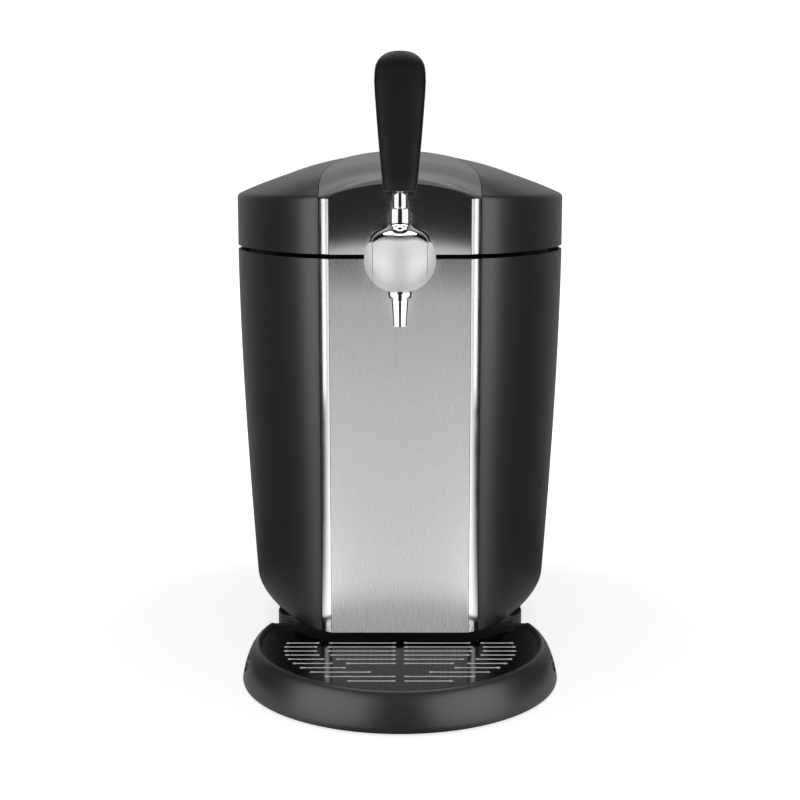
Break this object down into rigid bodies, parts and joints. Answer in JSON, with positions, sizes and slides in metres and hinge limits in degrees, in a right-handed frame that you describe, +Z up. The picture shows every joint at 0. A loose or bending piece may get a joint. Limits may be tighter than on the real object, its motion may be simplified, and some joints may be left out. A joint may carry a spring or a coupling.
{
  "type": "mini keg beer dispenser",
  "caption": "Cooled tabletop dispenser for a small beer keg, with a lift-up lid, a front lever tap and a round drip tray with a slotted grate.",
  "frame": {"origin": "on the standing surface, in the middle of the object's width and depth", "axes": "+Z up, the tap and drip tray face -Y, +X to the right seen from the front"},
  "size_m": [0.275, 0.445, 0.48],
  "materials": {
    "black_plastic": "fine satin black moulding",
    "silver_plastic": "satin silver paint",
    "brushed_steel": "vertical brushing",
    "chrome": "mirror chrome",
    "handle_black": "matt soft black",
    "dark_steel": "dark polished steel",
    "aluminium": "drawn aluminium",
    "foam": "closed cell foam",
    "grey_plastic": "plain moulding",
    "rubber": "matt rubber",
    "ceramic": "fired ceramic",
    "board_green": "lacquered board",
    "steel": "plain steel"
  },
  "bodies": {
    "housing": {"base_housing": "black_plastic", "bottom_plate": "black_plastic", "body_left_panel": "black_plastic", "body_right_panel": "black_plastic", "rear_cover": "black_plastic", "fan_frame": "black_plastic", "mains_inlet": "black_plastic", "switch_bezel": "black_plastic", "front_fascia": "brushed_steel", "trim_strip_left": "chrome", "trim_strip_right": "chrome", "tap_body": "chrome", "spout_collar": "chrome", "tap_spout": "chrome", "tap_shank": "chrome", "shank_flange": "chrome", "keg_well": "aluminium", "cold_block": "aluminium", "heat_sink": "aluminium", "insulation_jacket": "foam", "chassis_floor": "grey_plastic", "top_deck": "grey_plastic", "keg_pad": "rubber", "deck_seal": "rubber", "shank_seal": "rubber", "rubber_foot_1": "rubber", "rubber_foot_2": "rubber", "rubber_foot_3": "rubber", "rubber_foot_4": "rubber", "cooling_module": "ceramic", "supply_board": "board_green", "rear_screw_1": "steel", "rear_screw_2": "steel", "rear_screw_3": "steel", "rear_screw_4": "steel", "hinge_bracket_left": "steel", "hinge_bracket_right": "steel", "hinge_pin_left": "steel", "hinge_pin_right": "steel", "shank_nut": "steel"},
    "lid": {"lid_left_cover": "black_plastic", "lid_right_cover": "black_plastic", "lid_center_band": "silver_plastic", "lid_fascia": "dark_steel", "lid_trim_left": "chrome", "lid_trim_right": "chrome", "lid_liner": "grey_plastic", "lid_foam": "foam", "lid_frame": "grey_plastic", "hinge_leaf_left": "steel", "hinge_leaf_right": "steel"},
    "lever": {"tap_yoke": "chrome", "lever_stem": "chrome", "tap_handle": "handle_black", "cam_shaft": "steel"},
    "plunger": {"valve_plunger": "steel"},
    "tray": {"drip_tray": "black_plastic"},
    "grate": {"drip_grate": "dark_steel"},
    "fan": {"fan_rotor": "black_plastic"},
    "rocker": {"switch_rocker": "black_plastic"}
  },
  "joints": [
    {"name": "lid_hinge", "type": "hinge", "parent": "housing", "child": "lid", "pos_m": [0, 0.216, 0.345], "axis": [-1, 0, 0], "range_deg": [0, 95]},
    {"name": "tap_lever", "type": "hinge", "parent": "housing", "child": "lever", "pos_m": [0, -0.1415, 0.332], "axis": [1, 0, 0], "range_deg": [0, 40]},
    {"name": "valve_lift", "type": "slide", "parent": "housing", "child": "plunger", "axis": [0, 0, 1], "range_m": [0, 0.0062]},
    {"name": "tray_pull", "type": "slide", "parent": "housing", "child": "tray", "axis": [0, -1, 0], "range_m": [0, 0.13]},
    {"name": "grate_lift", "type": "slide", "parent": "tray", "child": "grate", "axis": [0, 0, 1], "range_m": [0, 0.05]},
    {"name": "fan_spin", "type": "hinge", "parent": "housing", "child": "fan", "pos_m": [0, 0.1584, 0.21], "axis": [0, 1, 0], "continuous": true},
    {"name": "switch_rock", "type": "hinge", "parent": "housing", "child": "rocker", "pos_m": [-0.028, 0.2169, 0.086], "axis": [1, 0, 0], "range_deg": [-9, 9]}
  ],
  "couplings": [
    {"joint": "valve_lift", "follows": "tap_lever", "m_per_rad": 0.0087469}
  ]
}
